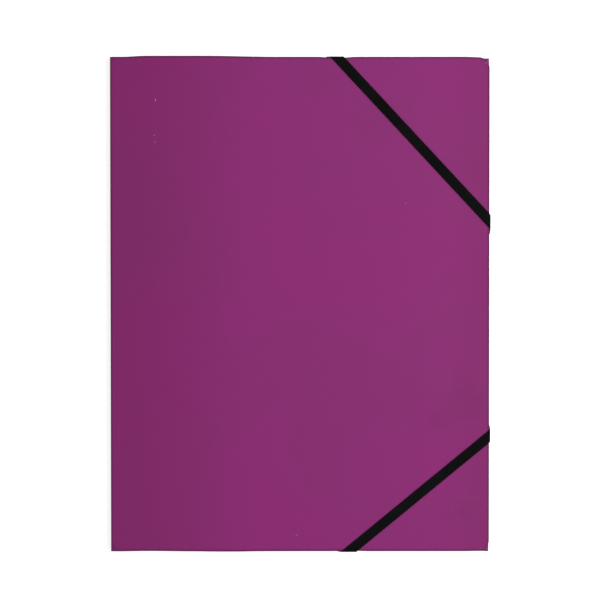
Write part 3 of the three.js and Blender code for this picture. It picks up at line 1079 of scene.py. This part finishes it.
@dataclass
class Rivet:
    """A tubular rivet through the end of a band and the back: low domed head below, curled rim inside."""

    node: str
    place: Array
    band_face: float
    back_top: float
    head_radius: float = 3.0 * MM
    shank_radius: float = 1.2 * MM
    bore_radius: float = 0.7 * MM
    curl_radius: float = 2.2 * MM
    curl_rise: float = 0.55 * MM
    curl_flat: float = 0.35 * MM
    curl_mouth_share: float = 0.6
    head_flat: float = 0.75 * MM
    head_rim: float = 0.22 * MM
    lip: float = 0.3 * MM
    gap: float = 0.02 * MM
    turns: int = 48

    def profile(self) -> Array:
        """The rivet's wall in section: bore mouth, dome, rim, shank, curl and back down the bore.

        The dome is a quarter oval from the flat round the bore out to the rim, and the curl is a half round.

        Returns:
            Radius and height of each point, once round the wall.
        """
        flat = self.bore_radius + self.head_flat
        angle = np.linspace(0.0, math.pi / 2.0, 12)
        rim_z = self.band_face - self.head_rim
        dome = np.column_stack([flat + (self.head_radius - flat) * np.sin(angle), rim_z * (1.0 - np.cos(angle))])
        mouth = np.linspace(math.pi, 1.5 * math.pi, 6)
        lip = self.lip
        lip_at = np.column_stack([self.bore_radius + lip + lip * np.cos(mouth), lip + lip * np.sin(mouth)])
        under = self.band_face - self.gap
        seat = self.back_top + self.gap
        curl_angle = np.linspace(-math.pi / 2.0, math.pi / 2.0, 10)
        curl_half = self.curl_rise / 2.0
        curl = np.column_stack([
            self.curl_radius - curl_half + curl_half * np.cos(curl_angle),
            seat + curl_half + curl_half * np.sin(curl_angle),
        ])
        shank = [[self.head_radius, under], [self.shank_radius, under], [self.shank_radius, seat]]
        top = [
            [self.bore_radius + self.curl_flat, seat + self.curl_rise],
            [self.bore_radius, seat + self.curl_rise * self.curl_mouth_share],
        ]
        return np.vstack([lip_at, dome, shank, curl, top])

    def build(self, material: Material) -> Piece:
        """Builds the rivet as its wall's section turned round its axis, which leaves the bore open.

        Args:
            material: The rivet's finish.

        Returns:
            The piece.
        """
        radius, height = self.profile().T
        angle = np.linspace(0.0, 2.0 * math.pi, self.turns, endpoint=False)
        x = self.place[0] + np.outer(np.cos(angle), radius)
        y = self.place[1] + np.outer(np.sin(angle), radius)
        z = np.broadcast_to(height, x.shape)
        points = np.stack([x, y, z], axis=-1).reshape(-1, 3)
        faces = turned_out(points, grid_faces(*x.shape, close_rows=True, close_columns=True))
        piece = make_piece(f"tubular_{self.node}", points, [faces], material)
        piece.data.set_sharp_from_angle(angle=math.radians(40.0))
        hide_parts(self.node)
        return piece


@dataclass
class Studio:
    """Floor, lights, world and camera: the folder from nearly straight above on white, under soft light."""

    distance: float = 2.2
    image_side: int = 600
    sensor: float = 36.0
    metres_per_pixel: float = 0.6468 * MM
    middle_pixel: Pair = (299.85, 304.65)
    sheet_middle: Pair = (-0.5 * MM, 0.0)
    tilt: float = math.radians(2.1)
    roll: float = math.radians(-0.02)

    def camera(self, level: float) -> None:
        """Puts the camera over the folder, leaning a little to the head as the photo's keystone shows.

        Args:
            level: Height of the cover, at which the scale holds.
        """
        data = bpy.data.cameras.new("camera")
        data.sensor_width = self.sensor
        data.lens = self.sensor * self.distance / (self.image_side * self.metres_per_pixel)
        data.clip_start = 0.05
        data.clip_end = 20.0
        camera = bpy.data.objects.new("camera", data)
        middle = self.image_side / 2.0
        target = Vector((
            self.sheet_middle[0] + (middle - self.middle_pixel[0]) * self.metres_per_pixel,
            self.sheet_middle[1] - (middle - self.middle_pixel[1]) * self.metres_per_pixel,
            level,
        ))
        offset = Vector((0.0, math.sin(self.tilt), math.cos(self.tilt))) * self.distance
        camera.location = target + offset
        camera.rotation_euler = (-self.tilt, 0.0, self.roll)
        bpy.context.scene.collection.objects.link(camera)
        bpy.context.scene.camera = camera

    @staticmethod
    def floor() -> None:
        """Lays a white floor that keeps the folder's shadow and shows white to the camera and in reflections."""
        material = bpy.data.materials.new("white_floor")
        material.use_nodes = True
        tree = NodeTree(material.node_tree)
        path = tree.add("ShaderNodeLightPath")
        seen = tree.math("MAXIMUM", path.outputs["Is Camera Ray"], path.outputs["Is Glossy Ray"])
        seen = tree.math("MAXIMUM", seen, path.outputs["Is Transmission Ray"])
        plain = tree.add("ShaderNodeBsdfDiffuse")
        plain.inputs["Color"].default_value = (0.80, 0.80, 0.80, 1.0)
        glow = tree.add("ShaderNodeEmission")
        tree.link(tree.math("MULTIPLY", seen, FLOOR_GLOW), glow.inputs["Strength"])
        both = tree.add("ShaderNodeAddShader")
        tree.link(plain.outputs[0], both.inputs[0])
        tree.link(glow.outputs[0], both.inputs[1])
        output = tree.add("ShaderNodeOutputMaterial")
        tree.link(both.outputs[0], output.inputs["Surface"])
        side = 6.0
        corners = np.array([[-side, -side, 0.0], [side, -side, 0.0], [side, side, 0.0], [-side, side, 0.0]])
        mesh = bpy.data.meshes.new("floor")
        mesh.from_pydata((corners - [0.0, 0.0, FLOOR_DROP]).tolist(), [], [[0, 1, 2, 3]])
        mesh.materials.append(material)
        floor = bpy.data.objects.new("floor", mesh)
        bpy.context.scene.collection.objects.link(floor)

    @staticmethod
    def lamp(name: str, place: Vector, aim: Vector, size: float, power: float) -> None:
        """Hangs one square softbox, turned to a point.

        Args:
            name: The lamp's name.
            place: Where it hangs.
            aim: The point it faces.
            size: Length of its side.
            power: Its power in watts.
        """
        data = bpy.data.lights.new(name, "AREA")
        data.shape = "SQUARE"
        data.size = size
        data.energy = power
        lamp = bpy.data.objects.new(name, data)
        lamp.location = place
        lamp.rotation_euler = (aim - place).to_track_quat("-Z", "Y").to_euler()
        bpy.context.scene.collection.objects.link(lamp)

    def lights(self) -> None:
        """Sets a broad key on the fore-edge side, a weak fill on the spine side and an even pale world."""
        aim = Vector((0.0, 0.0, 0.0))
        self.lamp("key", Vector((0.85, 0.15, 0.95)), aim, 0.9, 14.9)
        self.lamp("fill", Vector((-1.2, -0.4, 1.4)), aim, 1.6, 4.5)
        world = bpy.data.worlds.new("studio")
        world.use_nodes = True
        tree = NodeTree(world.node_tree)
        path = tree.add("ShaderNodeLightPath")
        seen = tree.math("MAXIMUM", path.outputs["Is Camera Ray"], path.outputs["Is Transmission Ray"])
        plain = tree.add("ShaderNodeBackground")
        plain.inputs["Strength"].default_value = WORLD_LIGHT
        white = tree.add("ShaderNodeBackground")
        white.inputs["Strength"].default_value = 1.0
        for node in (plain, white):
            node.inputs["Color"].default_value = (1.0, 1.0, 1.0, 1.0)
        mixed = tree.add("ShaderNodeMixShader")
        tree.link(seen, mixed.inputs[0])
        tree.link(plain.outputs[0], mixed.inputs[1])
        tree.link(white.outputs[0], mixed.inputs[2])
        output = tree.add("ShaderNodeOutputWorld")
        tree.link(mixed.outputs[0], output.inputs["Surface"])
        bpy.context.scene.world = world


def main() -> None:
    """Builds and dresses the folder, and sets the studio."""
    logging.basicConfig(level=logging.INFO, format="%(name)s: %(message)s")
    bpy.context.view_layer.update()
    scene = bpy.context.scene
    scene.view_settings.view_transform = "Standard"

    sheet = FoldedSheet(*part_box("folder_sheet"))
    studio = Studio()
    studio.camera(sheet.cover_top)
    studio.floor()
    studio.lights()

    effects = SharedEffects()
    plastic = PlasticSheet().dress(effects)
    elastic = WovenElastic().dress(effects)
    nickel = NickelPlate().dress(effects)

    sheet.build_wrap(plastic)
    for end in End:
        sheet.build_end_flap(end, plastic)
    bands = (
        ElasticBand(End.HEAD, sheet),
        ElasticBand(End.FOOT, sheet),
    )
    for band in bands:
        band.build(elastic)
        end = band.end.word
        for node, place in zip((f"rivet_{end}", f"rivet_fore_edge_{end}"), band.rivet_places()):
            face = sheet.lift - band.seat - band.thickness
            Rivet(node, place, face, sheet.lift + sheet.thickness).build(nickel)


if __name__ == "__main__":
    main()
